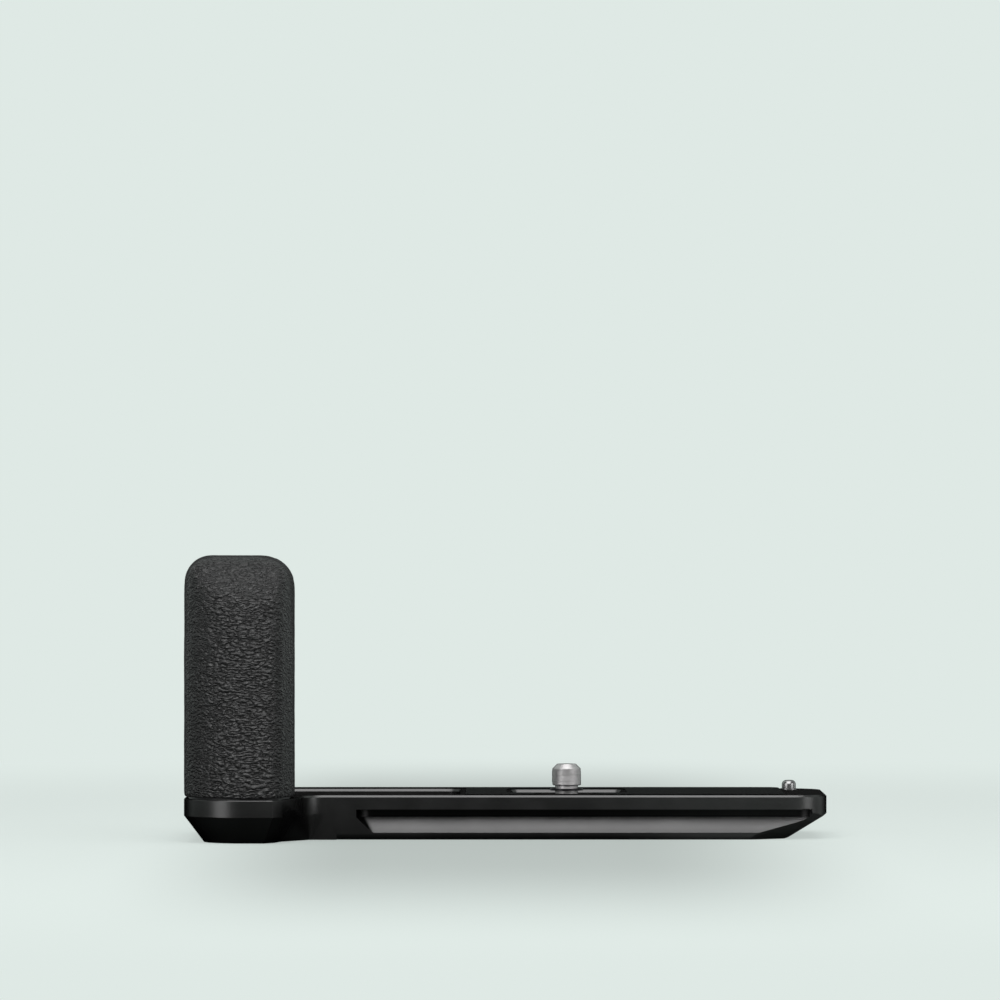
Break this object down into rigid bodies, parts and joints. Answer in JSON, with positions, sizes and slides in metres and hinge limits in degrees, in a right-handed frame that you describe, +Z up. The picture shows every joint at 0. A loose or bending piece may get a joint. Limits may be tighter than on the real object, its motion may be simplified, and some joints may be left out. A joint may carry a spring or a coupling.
{
  "type": "camera hand grip",
  "caption": "L-shaped hand grip for a camera: dovetail base plate with a battery window and captive camera screw, and an upright leather-covered handle.",
  "frame": {"origin": "where the axis of the captive camera screw meets the seat plane, the top of the seat pad", "axes": "+X along the plate, away from the handle; +Y from the front of the camera to its back; +Z up, out of the seat"},
  "size_m": [0.1392, 0.0588, 0.0617],
  "materials": {
    "base_plate": "black anodised, satin",
    "seat_pad": "matt",
    "tripod_bush": "turned",
    "bush_grub_screw": "black oxide",
    "locating_pin": "polished",
    "camera_screw": "turned stainless",
    "retaining_ring": "black oxide",
    "friction_washer": "black nylon",
    "handle_core": "moulded",
    "handle_skin": "creased grain",
    "handle_back_cover": "fine spark texture",
    "handle_back_pad": "matt",
    "back_cover_screws": "plain",
    "core_inserts": "plain",
    "handle_screws": "black oxide"
  },
  "bodies": {
    "base": {"base_plate": "base_plate", "seat_pad": "seat_pad", "tripod_bush": "tripod_bush", "bush_grub_screw": "bush_grub_screw", "locating_pin": "locating_pin", "handle_core": "handle_core", "handle_skin": "handle_skin", "handle_back_cover": "handle_back_cover", "handle_back_pad": "handle_back_pad", "back_cover_screws": "back_cover_screws", "core_inserts": "core_inserts", "handle_screws": "handle_screws"},
    "screw_carrier": {"friction_washer": "friction_washer", "retaining_ring": "retaining_ring"},
    "screw": {"camera_screw": "camera_screw"}
  },
  "joints": [
    {"name": "screw_lift", "type": "slide", "parent": "base", "child": "screw_carrier", "axis": [0, 0, 1], "range_m": [-0.0022, 0]},
    {"name": "screw_turn", "type": "hinge", "parent": "screw_carrier", "child": "screw", "pos_m": [0, 0, 0], "axis": [0, 0, 1], "continuous": true}
  ]
}
